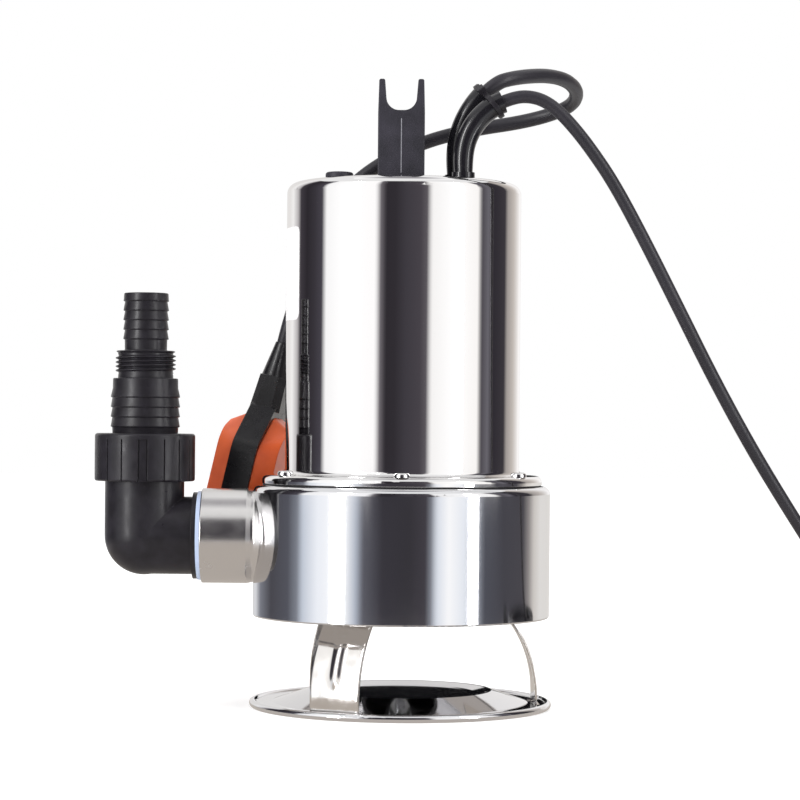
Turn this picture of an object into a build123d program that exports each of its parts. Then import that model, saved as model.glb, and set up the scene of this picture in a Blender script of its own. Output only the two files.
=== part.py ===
from build123d import *
import math
import os

# Stainless submersible pump with a float switch. Millimetres, +Z up.
# Origin: on the pump's axis, in the plane that the foot plate stands on. The outlet points to -X.

# ---- foot plate and legs ----
plate_radius = 83.2
bead_radius = 2.1
bead_flat = 0.1
sheet = 1.0
gutter_height = 2.0
gutter_inner = 70.0
dish_radius = 50.0
dish_height = 8.6
dish_depth = 1.6
slot_radius = 73.4
slot_length = 33.0
slot_width = 5.0
leg_angles = {"leg_right": 2, "leg_rear": 122, "leg_front": 242}
leg_width = 29.5
leg_sheet = 1.2
leg_outer = 74.6
leg_bend = 65.2
leg_bend_height = 8.0
leg_foot = 13.0
leg_tab = 12.0
rib_width = 8.7
rib_height = 1.6
rib_span = (9.0, 30.0)

# ---- pump casing ----
casing_radius = 81.8
casing_wall = 1.2
casing_bottom = 51.0
casing_top = 122.0
casing_corner = 4.0
deck_opening = 66.0
hem_width = 4.0
inlet_radius = 27.0
inlet_ring_radius = 42.0
inlet_ring_height = 3.0
fit_gap = 0.1
running_gap = 0.05

# ---- outlet ----
outlet_height = 93.4
outlet_radius = 26.1
outlet_bore = 23.4
stub_length = 28.2
stub_root = 11.8
outlet_mouth = casing_radius + stub_length
outlet_root = casing_radius - stub_root
elbow_reach = 32.0
elbow_axis = outlet_mouth + elbow_reach
elbow_radius = 21.8
elbow_bore = 17.5
elbow_rim = 23.9
seal_thickness = 2.2
rim_thickness = 2.6
spigot_length = 20.0
union_thread = 23.9
union_face = 141.0
washer = 2.0
union_wall = 3.7
union_radius = union_thread + union_wall
union_bottom = 123.3
union_top = 149.5
union_lip = 3.0
union_neck = 18.2
union_pad_pitch = 20.0
union_recess = 10.0
union_recess_centre = 3.0
adapter_top = 226.9
barb_depth = 0.8
upper_barbs = (201.4, 5, 5.25, 12.5)
lower_barbs = (153.1, 4, 5.43, 19.0)
thread_pitch = 2.309
thread_span = (181.9, 194.6)
thread_crest = 16.5
thread_root = 15.0
adapter_waist = 11.4
adapter_neck = 15.2
adapter_shoulder = 17.9
adapter_bore = (9.6, 14.5)

# ---- motor shell and its flange ----
gasket = 0.8
flange_radius = 77.2
flange_lip = 1.2
housing_flange = 3.8
shell_radius = 64.6
shell_wall = 1.0
shell_top = 288.0
shell_corner = 5.75
shell_plug_place = (-35.0, -38.0)
label_span = (212.0, 262.5)
label_angles = (-151, -174, -197, -221)
label_thickness = 0.15
label_corner = 4.0
screw_circle = 72.5
screw_shank = 2.0
screw_head = 4.25
screw_head_height = 2.5
screw_angles = (30, 90, 150, 210, 270, 330)

# ---- rotor, bearings and seal ----
shaft_radius = 6.0
shaft_flat_depth = 1.5
stud_radius = 4.0
journal_radius = 7.5
core_radius = 8.5
rotor_radius = 27.0
end_ring_bore = 15.0
end_ring_height = 5.0
air_gap = 0.5
stator_radius = 48.0
stack = (165.0, 215.0)
winding_ends = (147.0, 231.0)
stator_slots = 24
stator_slot_width = 3.6
slot_bottom = 41.0
slot_gap = 0.2
frame_wall = 2.5
frame_span = (134.0, 236.0)
bracket_height = 4.0
lower_bearing = (130.0, 11.0, 17.5, 7.5)
upper_bearing = (226.0, 10.0, 16.0, 6.0)
ball_count = 8
tie_circle = 57.0
tie_bolt_radius = 2.5
tie_angles = (0, 120, 240)
seal_screw_angles = (45, 165, 285)
capacitor_radius = 15.0
capacitor_length = 54.0
capacitor_place = 18.0
clip_width = 14.0
terminal_pitch = 8.5
terminal_count = 4
terminal_place = -20.0
chamber_radius = 34.0
chamber_rim = 12.0
seal_screw_circle = chamber_radius + chamber_rim / 2
seal_screw_radius = 1.5
lip_seal_radius = 13.0
lip_seal_span = (14.0, 7.0)
seal_plate_span = (92.0, 98.0)
seal_seat_radius = 12.0
seal_head_radius = 11.0
seal_head_height = 7.0
spring_wire = 1.2
spring_height = 7.0
impeller_radius = 54.0
impeller_vanes = 6
impeller_back = (83.0, 86.0)
impeller_bottom = 68.0
hub_radius = 12.0

# ---- handle ----
handle_width = 25.0
handle_length = 100.0
handle_height = 52.0
handle_shift = -1.9
handle_top = shell_top + handle_height
notch_width = 17.8
notch_floor = 15.2
notch_corner = 6.8
notch_depth = 16.6
notch_bottom = handle_top - notch_depth
horn_tip = 1.0
post_length = 15.0
finger_height = 23.0
grip_underside = shell_top + finger_height
handle_screw_radius = 2.4
handle_screw_places = (-(handle_length - post_length) / 2, (handle_length - post_length) / 2)

# ---- strain reliefs and cables ----
cable_diameter = 7.0
float_cable_diameter = 8.0
power_boot_foot = (31.5, -42.0)
power_boot_bend = (7.1, 33.7, 68.0)
float_boot_foot = (28.0, -27.5)
float_boot_bend = (8.9, 49.1, 46.0)
boot_collar = 3.0
power_lead_out = 7.0
float_lead_out = 9.0
boot_radius = 5.0
boot_end_radius = 6.0
gland_radius = 4.5
tie_share = 0.93
tie_clearance = 0.4
tie_thickness = 1.0
tie_width = 2.6
coil_centre = (331.0, 30.0)
coil_mean_radius = 68.0
coil_section = (38.0, 35.5)
coil_corner = 7.0
plug_place = (416.0, -42.0)
plug_neck = 26.0
plug_depth = 20.0
plug_radius = 17.5
plug_pin_radius = 2.4
plug_pin_length = 18.5
plug_pin_stem = 2.0
plug_pin_step = 0.5
plug_pin_spacing = 19.0
tail_route = [(413.8, 13.0, 6.6), (415.3, -6.5, 13.0), (416.0, -26.0, 17.5)]

# ---- float switch ----
float_lean = 13.0
float_yaw = -12.0
float_top = (-69.0, 70.0, 202.0)
float_boot_length = 37.0
float_length = 82.0
float_width = 64.0
float_band_width = 15.0
float_shell_height = 10.6
float_shell_inset = (2.0, 8.5)
float_collar = 4.0
float_neck = 17.0
float_wall = 2.0
ball_radius = 6.0

power_route = [
    (67.1, -40.3, 332.4), (74.8, -40.1, 330.2), (82.2, -39.8, 325.0), (90.5, -39.5, 316.4),
    (99.9, -39.0, 304.7), (112.5, -38.0, 286.7), (129.0, -36.3, 257.0), (148.4, -33.5, 219.8),
    (168.7, -29.5, 180.8), (190.7, -23.5, 142.7), (212.5, -14.5, 109.5), (231.5, -3.5, 82.5),
    (245.5, 8.5, 61.5), (254.5, 20.5, 45.0), (261.3, 34.0, 35.5), (265.3, 47.6, 31.6),
]
float_route = [
    (57.5, -22.5, 344.3), (68.0, -13.0, 347.0), (79.5, 0.0, 349.0), (90.5, 15.0, 348.5),
    (97.5, 32.0, 344.5), (96.0, 48.0, 339.0), (84.5, 59.0, 334.5), (66.0, 64.5, 330.3),
    (40.0, 67.5, 326.6), (14.0, 69.0, 320.3), (-8.0, 68.0, 310.0), (-27.0, 67.0, 297.0),
    (-43.0, 67.5, 279.0), (-54.0, 68.5, 255.0), (-61.5, 69.3, 229.0),
]


def turned(points, axis=Axis.Z):
    """Solid of revolution of a closed (radius, height) outline."""
    outline = Polyline([(r, 0, z) for r, z in points], close=True)
    return revolve(make_face(outline), axis)


def turned_soft(points, radii):
    """The same, with a radius on each corner of the outline."""
    outline = FilletPolyline([(r, 0, z) for r, z in points], radius=radii, close=True)
    return revolve(make_face(outline), Axis.Z)


def rod(radius, low, high, x=0.0, y=0.0):
    return Pos(x, y, (low + high) / 2) * Cylinder(radius, high - low)


def ring(inner, outer, low, high):
    return rod(outer, low, high) - rod(inner, low - 1, high + 1)


def block(x, y, z):
    """Box from three (low, high) pairs."""
    size = [high - low for low, high in (x, y, z)]
    centre = [(high + low) / 2 for low, high in (x, y, z)]
    return Pos(*centre) * Box(*size)


def around(shape, angles):
    return [Rot(0, 0, angle) * shape for angle in angles]


def minus(shape, cutters):
    for cutter in cutters:
        shape = shape - cutter
    return shape


def plus(shape, others):
    for other in others:
        shape = shape + other
    return shape


def route_radii(points):
    """Arc radius at each inner corner: 0.45 of the shorter run over the tangent of half the turn."""
    spots = [Vector(*p) for p in points]
    radii = []
    for before, corner, after in zip(spots, spots[1:], spots[2:]):
        shorter = min((corner - before).length, (after - corner).length)
        turn = math.radians((corner - before).get_angle(after - corner))
        radii.append(0.45 * shorter / math.tan(turn / 2))
    return radii


def cable_tube(name, points, diameter):
    radii = route_radii(points)
    path = FilletPolyline(points, radius=radii)
    start = Plane(origin=path @ 0, z_dir=path % 0)
    tube = sweep(start * Circle(diameter / 2), path=path.wire())
    expected = math.pi * diameter**2 / 4 * path.length
    print(name, "length", round(path.length, 1), "volume ratio", round(tube.volume / expected, 4))
    print("  radii", [round(radius, 1) for radius in radii])
    return tube


# ---- foot plate and legs ----
def base_plate():
    bead_inner = plate_radius - 2 * bead_radius
    top = dish_height + sheet
    dish = turned([
        (0, dish_height - dish_depth), (dish_radius - 8, dish_height - dish_depth),
        (dish_radius - 1, dish_height), (dish_radius, dish_height),
        (gutter_inner, gutter_height), (bead_inner + 0.6, gutter_height),
        (bead_inner + 0.6, gutter_height + sheet), (gutter_inner + 0.4, gutter_height + sheet),
        (dish_radius + 0.4, top), (dish_radius - 1.2, top), (dish_radius - 8.2, top - dish_depth),
        (0, top - dish_depth),
    ])
    wire = Plane.XZ * Pos(plate_radius - bead_radius, bead_radius - bead_flat) * Circle(bead_radius)
    bead = revolve(wire, Axis.Z)
    bead = bead - rod(plate_radius + 5, -5, 0)
    slot = Pos(slot_radius, 0, gutter_height) * Box(slot_width, slot_length, 3 * sheet)
    return minus(dish + bead, around(slot, leg_angles.values()))


def leg():
    """Strip in the +X direction: welded tab, bent shank with a pressed rib, foot under the gutter."""
    centre = leg_outer - leg_bend
    inner = leg_bend - leg_sheet
    rise = casing_bottom - leg_bend_height
    sweep_angle = math.degrees(math.asin((rise - leg_sheet) / inner))
    spin = Axis((centre, 0, leg_bend_height), (0, -1, 0))
    half = leg_width / 2
    section = make_face(Polyline([
        (centre + inner, -half, leg_bend_height), (centre + leg_bend, -half, leg_bend_height),
        (centre + leg_bend, half, leg_bend_height), (centre + inner, half, leg_bend_height),
    ], close=True))
    shank = revolve(section, spin, sweep_angle)
    foot_low = gutter_height - leg_sheet
    lower = block((leg_outer - leg_sheet, leg_outer), (-half, half), (foot_low, leg_bend_height))
    lower += block((leg_outer - leg_foot, leg_outer), (-half, half), (foot_low, foot_low + leg_sheet))
    tab_edge = centre + math.sqrt(leg_bend**2 - rise**2)
    tab_low = casing_bottom - leg_sheet
    tab = block((tab_edge - leg_tab, tab_edge + 0.4), (-half, half), (tab_low, casing_bottom))
    body = shank + lower + tab
    tube_radius = (rib_width**2 / 4 + rib_height**2) / (2 * rib_height)
    line = leg_bend + rib_height - tube_radius
    outside = rib_solid(centre, line, tube_radius) & shell_sector(centre, leg_bend - leg_sheet / 2)
    groove = rib_solid(centre, line, tube_radius - leg_sheet) & shell_sector(centre, inner - 1)
    return body + outside - groove


def shell_sector(centre, radius):
    """Everything outside the given bend radius on the shank."""
    whole = Pos(centre, 0, leg_bend_height) * Rot(90, 0, 0) * Cylinder(leg_bend + 20, leg_width)
    return whole - Pos(centre, 0, leg_bend_height) * Rot(90, 0, 0) * Cylinder(radius, leg_width + 2)


def rib_solid(centre, line, radius):
    spin = Axis((centre, 0, leg_bend_height), (0, -1, 0))
    low, high = rib_span
    start = Pos(centre, 0, leg_bend_height) * Rot(0, -low, 0) * Pos(line, 0, 0)
    end = Pos(centre, 0, leg_bend_height) * Rot(0, -high, 0) * Pos(line, 0, 0)
    bar = revolve(start * Circle(radius), spin, high - low)
    return bar + start * Sphere(radius) + end * Sphere(radius)


# ---- pump casing ----
def outlet_cylinder(radius, near, far):
    """Cylinder on the outlet's axis between two distances to the left of the pump's axis."""
    return Pos(-(near + far) / 2, 0, outlet_height) * Rot(0, 90, 0) * Cylinder(radius, far - near)


def pump_casing():
    low = casing_bottom - sheet
    inner = casing_radius - casing_wall
    profile = [
        (casing_radius - hem_width, low), (casing_radius, low), (casing_radius, casing_top),
        (deck_opening, casing_top), (deck_opening, casing_top - casing_wall),
        (inner, casing_top - casing_wall), (inner, casing_bottom), (casing_radius - hem_width, casing_bottom),
    ]
    soft = [0, 0.9, casing_corner, 0, 0, casing_corner - casing_wall, 0, 0]
    can = turned_soft(profile, soft) - outlet_cylinder(outlet_bore, casing_radius - 30, casing_radius + 5)
    collar = rod(screw_shank + 1.6, casing_top - 6, casing_top - casing_wall, screw_circle)
    hole = rod(screw_shank + running_gap, casing_top - 7, casing_top + 1, screw_circle)
    return minus(plus(can, around(collar, screw_angles)), around(hole, screw_angles))


def suction_plate():
    edge = casing_radius - casing_wall - fit_gap
    top = casing_bottom + casing_wall
    return turned([
        (inlet_radius, casing_bottom), (edge, casing_bottom), (edge, top),
        (inlet_radius, top),
    ])


def inlet_ring():
    low = casing_bottom + casing_wall
    return turned([
        (inlet_radius - 2, low - casing_wall - 1.2), (inlet_radius - 0.2, low - casing_wall - 1.2),
        (inlet_radius - 0.2, low), (inlet_ring_radius, low), (inlet_ring_radius, low + 1),
        (inlet_ring_radius - 6, low + inlet_ring_height), (inlet_radius - 2, low + inlet_ring_height),
    ])


def casing_gasket():
    flat = ring(deck_opening, flange_radius - 0.4, casing_top, casing_top + gasket)
    hole = rod(screw_shank + 0.3, casing_top - 1, casing_top + 2, screw_circle)
    return minus(flat, around(hole, screw_angles))


def outlet_stub():
    """Socket turned about the outlet's axis, cut to sit on the casing's wall."""
    waist = outlet_radius - 0.7
    outer = [
        (outlet_bore, outlet_root), (outlet_radius + 2.6, outlet_root),
        (outlet_radius + 2.0, outlet_root + 6),
        (waist, outlet_root + 10.5), (waist, outlet_root + 12), (outlet_radius, outlet_root + 15),
        (outlet_radius, outlet_mouth), (outlet_bore, outlet_mouth),
    ]
    soft = [0, 0, 4, 2, 2, 4, 0.6, 0.4]
    shape = Pos(0, 0, outlet_height) * Rot(0, -90, 0) * turned_soft(outer, soft)
    return shape - rod(casing_radius, casing_bottom - 20, casing_top + 20)


# ---- motor shell ----
def flange_top():
    return casing_top + gasket + housing_flange


def motor_shell():
    low = casing_top + gasket
    seat = flange_top()
    top = seat + flange_lip
    inner = shell_radius - shell_wall
    profile = [
        (flange_radius - flange_lip, low), (flange_radius, low), (flange_radius, top),
        (shell_radius, top), (shell_radius, shell_top), (0, shell_top), (0, shell_top - shell_wall),
        (inner, shell_top - shell_wall), (inner, seat), (flange_radius - flange_lip, seat),
    ]
    soft = [0, 0.3, 3.2, 2.6, shell_corner, 0, 0, shell_corner - shell_wall, 0.8, 2.0]
    can = turned_soft(profile, soft)
    hole = rod(screw_shank + 0.3, low, top + 1, screw_circle)
    can = minus(can, around(hole, screw_angles))
    for x, y in (power_boot_foot, float_boot_foot, shell_plug_place):
        can = can - rod(gland_radius + fit_gap, shell_top - 5, shell_top + 5, x, y)
    for y in handle_screw_places:
        can = can - rod(handle_screw_radius + 0.3, shell_top - 5, shell_top + 5, handle_shift, y)
    return can


def shell_plug():
    x, y = shell_plug_place
    cap = rod(7.5, shell_top, shell_top + 3, x, y)
    cap = fillet(cap.edges().group_by(Axis.Z)[-1], 1.4)
    stem = rod(gland_radius, shell_top - 5, shell_top + 0.2, x, y)
    barb = Pos(x, y, shell_top - 3.3) * Cone(gland_radius - 0.6, gland_radius + 0.8, 3.4)
    return cap + stem + barb


def pan_screw(shank, head, height, seat, tip, x, y=0.0):
    """Pan head above its seat with a cross recess, shank down to the tip."""
    top = rod(head, seat, seat + height, x, y)
    top = fillet(top.edges().group_by(Axis.Z)[-1], height * 0.62)
    cross = block((-head / 2, head / 2), (-0.5, 0.5), (seat + height - 1.2, seat + height + 1))
    cross += block((-0.5, 0.5), (-head / 2, head / 2), (seat + height - 1.2, seat + height + 1))
    return top + rod(shank, tip, seat + 0.1, x, y) - Pos(x, y, 0) * cross


def flange_screws():
    seat = flange_top() + flange_lip
    screw = pan_screw(screw_shank, screw_head, screw_head_height, seat, casing_top - 8, screw_circle)
    return around(screw, screw_angles)


def label():
    low, high = label_span
    band = ring(shell_radius, shell_radius + label_thickness, low, high)
    wedge = Pos(0, 0, (low + high) / 2) * extrude(label_sector(), amount=(high - low) / 2 + 1, both=True)
    sticker = band & wedge
    corners = [e for e in sticker.edges() if e.length < 2 * label_thickness]
    return fillet(corners, label_corner)


def label_sector():
    """Sector of the plan from 61 to 131 degrees left of the front."""
    far = shell_radius + 20
    points = [(0, 0)]
    for angle in label_angles:
        turn = math.radians(angle)
        points.append((far * math.cos(turn), far * math.sin(turn)))
    return make_face(Polyline(points, close=True))


# ---- bearing housing and seals ----
def bearing_housing():
    low = casing_top + gasket
    seat = flange_top()
    spigot = shell_radius - shell_wall - fit_gap
    start, height, outer, _ = lower_bearing
    base = seal_plate_span[1]
    edge = flange_radius - flange_lip - fit_gap
    chamber_edge = chamber_radius + chamber_rim
    frame_edge = stator_radius + frame_wall + 2
    seal_low, seal_high = start - lip_seal_span[0], start - lip_seal_span[1]
    body = turned([
        (chamber_radius, base), (chamber_edge, base), (chamber_edge, low), (edge, low), (edge, seat - 2.2),
        (edge - 2.3, seat), (spigot - 1.0, seat), (spigot - 1.0, seat + 3), (frame_edge, seat + 3),
        (frame_edge, frame_span[0]), (outer + 6, frame_span[0]), (outer + 6, start + height),
        (outer, start + height), (outer, start), (shaft_radius + 2.5, start), (shaft_radius + 2.5, seal_high),
        (lip_seal_radius, seal_high), (lip_seal_radius, seal_low), (chamber_radius, seal_low),
    ])
    cutters = around(rod(screw_shank + 0.3, low - 1, seat + 1, screw_circle), screw_angles)
    cutters += around(rod(tie_bolt_radius + running_gap, low + 1, seat + 5, tie_circle), tie_angles)
    hole = rod(seal_screw_radius + running_gap, base - 1, base + 9, seal_screw_circle)
    cutters += around(hole, seal_screw_angles)
    return minus(body, cutters)


def seal_plate():
    low, high = seal_plate_span
    edge = chamber_radius + chamber_rim
    plate = turned([
        (shaft_radius + 1.5, low), (edge, low), (edge, high), (seal_seat_radius, high),
        (seal_seat_radius, low + 2), (shaft_radius + 1.5, low + 2),
    ])
    hole = rod(seal_screw_radius + 0.3, low - 1, high + 1, seal_screw_circle)
    return minus(plate, around(hole, seal_screw_angles))


def seal_plate_screws():
    low, high = seal_plate_span
    head = rod(2 * seal_screw_radius, low - 2, low, seal_screw_circle)
    screw = head + rod(seal_screw_radius, low - 0.1, high + 8, seal_screw_circle)
    return around(screw, seal_screw_angles)


def seal_seat():
    low, high = seal_plate_span
    return ring(shaft_radius + 0.6, seal_seat_radius, low + 2, high)


def seal_head():
    high = seal_plate_span[1]
    return ring(shaft_radius, seal_head_radius, high, high + seal_head_height)


def seal_spring():
    """Coil spring between the seal head and the lip seal's collar."""
    start = seal_plate_span[1] + seal_head_height + spring_wire / 2
    path = Pos(0, 0, start) * Helix(pitch=3.0, height=spring_height - spring_wire, radius=8.4)
    return sweep(Plane(origin=path @ 0, z_dir=path % 0) * Circle(spring_wire / 2), path=path)


def lip_seal():
    low, high = [lower_bearing[0] - drop for drop in lip_seal_span]
    return turned([
        (shaft_radius + running_gap, low + 1), (shaft_radius + 2, low), (lip_seal_radius, low),
        (lip_seal_radius, high), (shaft_radius + 2, high), (shaft_radius + 1.5, low + 3),
    ])


def bearing_outer(bearing):
    start, height, outer, bore = bearing
    track, ball = bearing_track(bearing)
    race = ring(outer - 3.2, outer, start, start + height)
    return race - Pos(0, 0, start + height / 2) * Torus(track, ball + 0.03)


def bearing_inner(bearing):
    start, height, outer, bore = bearing
    track, ball = bearing_track(bearing)
    race = ring(bore, bore + 3.0, start, start + height)
    return race - Pos(0, 0, start + height / 2) * Torus(track, ball + 0.03)


def bearing_track(bearing):
    """Radius of the ball circle and of a ball."""
    start, height, outer, bore = bearing
    return (outer + bore) / 2, (outer - bore) * 0.29


def bearing_balls(bearing):
    """Balls and the pressed cage that spaces them."""
    start, height, outer, bore = bearing
    track, ball = bearing_track(bearing)
    middle = start + height / 2
    angles = [360 * i / ball_count for i in range(ball_count)]
    cage = ring(track - 0.5, track + 0.5, middle - ball * 1.25, middle + ball * 1.25)
    pockets = around(Pos(track, 0, middle) * Rot(0, 90, 0) * Cylinder(ball + running_gap, 3), angles)
    balls = around(Pos(track, 0, middle) * Sphere(ball), angles)
    return balls + [minus(cage, pockets)]


# ---- motor ----
def motor_frame():
    return ring(stator_radius, stator_radius + frame_wall, *frame_span)


def slot_box(inner, outer, width, low, high):
    return block((inner, outer), (-width / 2, width / 2), (low, high))


def stator_core():
    low, high = stack
    core = ring(rotor_radius + air_gap, stator_radius, low, high)
    angles = [360 * i / stator_slots for i in range(stator_slots)]
    slot = slot_box(rotor_radius + 3, slot_bottom, stator_slot_width, low - 1, high + 1)
    return minus(core, around(slot, angles))


def stator_windings():
    """Slot bars joined by rounded end turns."""
    low, high = stack
    angles = [360 * i / stator_slots for i in range(stator_slots)]
    inner = rotor_radius + 3 + slot_gap
    outer = slot_bottom - slot_gap
    foot, top = winding_ends
    bottom = turned_soft([(inner, foot), (outer, foot), (outer, low), (inner, low)], [4, 4, 0, 0])
    crown = turned_soft([(inner, high), (outer, high), (outer, top), (inner, top)], [0, 0, 4, 4])
    bars = around(slot_box(inner, outer, stator_slot_width - 2 * slot_gap, low - 1, high + 1), angles)
    return plus(bottom + crown, bars)


def upper_bracket():
    start, height, outer, _ = upper_bearing
    low = frame_span[1]
    high = low + bracket_height
    plate = turned([
        (0, start + height), (outer, start + height), (outer, start), (outer + 4, start), (outer + 4, low),
        (stator_radius + frame_wall, low), (stator_radius + frame_wall, high), (0, high),
    ])
    ear = rod(6.5, low, high, tie_circle) + block((stator_radius, tie_circle), (-6.5, 6.5), (low, high))
    hole = rod(tie_bolt_radius + 0.3, low - 1, high + 1, tie_circle)
    return minus(plus(plate, around(ear, tie_angles)), around(hole, tie_angles))


def tie_bolts():
    top = frame_span[1] + bracket_height
    head = extrude(Pos(tie_circle, 0, top) * RegularPolygon(4.6, 6), amount=3.5)
    bolt = head + rod(tie_bolt_radius, casing_top + gasket + 1.5, top + 0.1, tie_circle)
    return around(bolt, tie_angles)


def shaft():
    lower_start, lower_height = lower_bearing[:2]
    upper_start, upper_height = upper_bearing[:2]
    lower_end = lower_start + lower_height
    tip = upper_start + upper_height - 0.5
    step_low, step_high = stack[0] - 8, stack[1] + 8
    body = turned([
        (0, impeller_bottom - 9), (stud_radius, impeller_bottom - 9), (stud_radius, impeller_bottom - 1),
        (shaft_radius, impeller_bottom - 1), (shaft_radius, lower_start - 1),
        (journal_radius, lower_start - 1), (journal_radius, lower_end),
        (core_radius + 1, lower_end), (core_radius + 1, step_low),
        (core_radius, step_low), (core_radius, step_high), (upper_bearing[3], step_high),
        (upper_bearing[3], tip), (0, tip),
    ])
    return body - shaft_flat()


def shaft_flat():
    """Block beyond the flat that keeps the impeller from turning on the shaft."""
    x = (shaft_radius - shaft_flat_depth, shaft_radius + 2)
    return block(x, (-8, 8), (impeller_bottom - 2, impeller_back[1] - 2))


def rotor_core():
    return ring(core_radius, rotor_radius, *stack)


def rotor_end_rings():
    low, high = stack
    spans = ((low - end_ring_height, low), (high, high + end_ring_height))
    return [ring(end_ring_bore, rotor_radius - 1.5, start, end) for start, end in spans]


def impeller():
    """Open vortex impeller: back plate, hub and curved vanes that reach down."""
    low, high = impeller_back
    disc = turned([(0, low), (impeller_radius, low), (impeller_radius, high), (0, high)])
    hub = turned([(0, impeller_bottom), (hub_radius, impeller_bottom), (hub_radius + 1.5, low), (0, low)])
    hub += rod(10, high, seal_plate_span[0] - 0.6)
    sector = ThreePointArc((hub_radius - 2, 0), (33, 9), (impeller_radius - 1, 2))
    inner = ThreePointArc((hub_radius - 2, 3.2), (32, 12.4), (impeller_radius - 2, 5.2))
    outline = make_face([sector, Line(sector @ 1, inner @ 1), inner, Line(inner @ 0, sector @ 0)])
    vane = Pos(0, 0, impeller_bottom) * extrude(outline, amount=low - impeller_bottom + 0.5)
    body = plus(disc + hub, around(vane, [360 * i / impeller_vanes for i in range(impeller_vanes)]))
    bore = rod(shaft_radius, impeller_bottom - 1, seal_plate_span[0])
    return body - (bore - shaft_flat())


def impeller_nut():
    top = impeller_bottom
    nut = extrude(Pos(0, 0, top - 7) * RegularPolygon(7.5, 6), amount=6)
    washer_disc = rod(8.5, top - 1, top)
    return nut + washer_disc - rod(stud_radius, top - 12, top - 1) - rod(shaft_radius, top - 1, top + 1)


def capacitor():
    can = fillet(capacitor_cylinder(capacitor_radius, capacitor_length).edges(), 2)
    height = capacitor_height()
    end = capacitor_length / 2 + 3
    posts = [Pos(end, capacitor_place, height + side * 5) * Box(8, 2, 6) for side in (1, -1)]
    return plus(can, posts)


def capacitor_height():
    return frame_span[1] + bracket_height + capacitor_radius + 3


def capacitor_cylinder(radius, length):
    """Cylinder on the capacitor's axis."""
    return Pos(0, capacitor_place, capacitor_height()) * Rot(0, 90, 0) * Cylinder(radius, length)


def capacitor_clip():
    """Saddle strap that holds the capacitor on the upper bracket."""
    base = frame_span[1] + bracket_height
    outside = capacitor_cylinder(capacitor_radius + 1.2, clip_width)
    loop = outside - capacitor_cylinder(capacitor_radius, 2 * clip_width)
    half = clip_width / 2
    y = (capacitor_place - 12, capacitor_place + 12)
    foot = block((-half, half), y, (base, base + 4))
    return loop + (foot - capacitor_cylinder(capacitor_radius + 0.6, 2 * clip_width))


def terminal_block():
    base = frame_span[1] + bracket_height
    half = terminal_pitch * terminal_count / 2
    body = block((-half, half), (terminal_place - 7, terminal_place + 7), (base, base + 12))
    for i in range(terminal_count):
        x = terminal_pitch * (i + 0.5) - half
        body = body - rod(2.2, base + 8, base + 13, x, terminal_place)
        body = body - Pos(x, terminal_place, base + 5) * Rot(90, 0, 0) * Cylinder(1.8, 20)
    return body


# ---- handle ----
def handle():
    half = handle_length / 2
    width = handle_width / 2
    body = block((-width, width), (-half, half), (shell_top, handle_top))
    body = fillet(body.edges().filter_by(Axis.Z), 0.8)
    inner = half - post_length
    gap = block((-width - 1, width + 1), (-inner, inner), (shell_top - 1, grip_underside))
    body = body - fillet(gap.edges().filter_by(Axis.X).group_by(Axis.Z)[-1], 6)
    body = body - notch_bar()
    crown = block((-width - 1, width + 1), (-inner, inner), (notch_bottom, handle_top + 1))
    body = body - crown
    lean = Pos(width + 5 - 0.5, 0, handle_top) * Rot(0, -1.6, 0) * Box(10, handle_length + 2, 60)
    body = body - lean - mirror(lean, Plane.YZ)
    body = fillet(body.edges().filter_by(Axis.Y).group_by(Axis.Z)[-1], horn_tip)
    for y in handle_screw_places:
        body = body - rod(handle_screw_radius + running_gap, shell_top - 1, shell_top + 16, 0, y)
    return Pos(handle_shift, 0, 0) * body


def notch_bar():
    """Bar of the notch's section, narrower at its rounded floor than at the horns' tips."""
    floor, mouth = notch_floor / 2, notch_width / 2
    outline = FilletPolyline(
        [(-mouth, handle_top), (-floor, notch_bottom), (floor, notch_bottom), (mouth, handle_top)],
        radius=notch_corner,
    )
    above = handle_top + 1
    lid = Polyline([(mouth, handle_top), (mouth, above), (-mouth, above), (-mouth, handle_top)])
    return extrude(Plane.XZ * make_face([outline, lid]), amount=handle_length / 2 + 1, both=True)


def handle_screws():
    inside = shell_top - shell_wall
    screws = []
    for y in handle_screw_places:
        head = rod(5, inside - 3, inside, handle_shift, y)
        screws.append(head + rod(handle_screw_radius, inside - 0.1, shell_top + 15, handle_shift, y))
    return screws


# ---- strain reliefs ----
def boot_frame(foot, bend, share):
    """Plane across the axis of a strain relief, at a share of its length: straight, then an arc."""
    straight, radius, angle = bend
    arc = radius * math.radians(angle)
    along = share * (straight + arc)
    turn = max(0.0, (along - straight) / radius)
    reach = radius * (1 - math.cos(turn))
    x = foot[0] + reach
    y = foot[1] + reach * 0.08
    z = shell_top + boot_collar + min(along, straight) + radius * math.sin(turn)
    return Plane(origin=(x, y, z), x_dir=(0, 1, 0), z_dir=(math.sin(turn), 0.0, math.cos(turn)))


def boot(foot, bend):
    """Tapered and bent sleeve with a foot ring, and a stem through the shell."""
    shares = [0, 0.2, 0.4, 0.6, 0.8, 1]
    growth = boot_end_radius - boot_radius
    sections = [boot_frame(foot, bend, s) * Circle(boot_radius + growth * math.sqrt(s)) for s in shares]
    sleeve = loft([s.face() for s in sections])
    x, y = foot
    ring_foot = rod(boot_radius + 1.2, shell_top, shell_top + boot_collar, x, y)
    return sleeve + ring_foot + rod(gland_radius, shell_top - 9, shell_top, x, y)


def gland_nuts():
    nuts = []
    high = shell_top - shell_wall
    for x, y in (power_boot_foot, float_boot_foot):
        nut = extrude(Pos(x, y, high - 5) * RegularPolygon(6.6, 6), amount=5)
        nuts.append(nut - rod(gland_radius, high - 6, high + 1, x, y))
    return nuts


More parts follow.
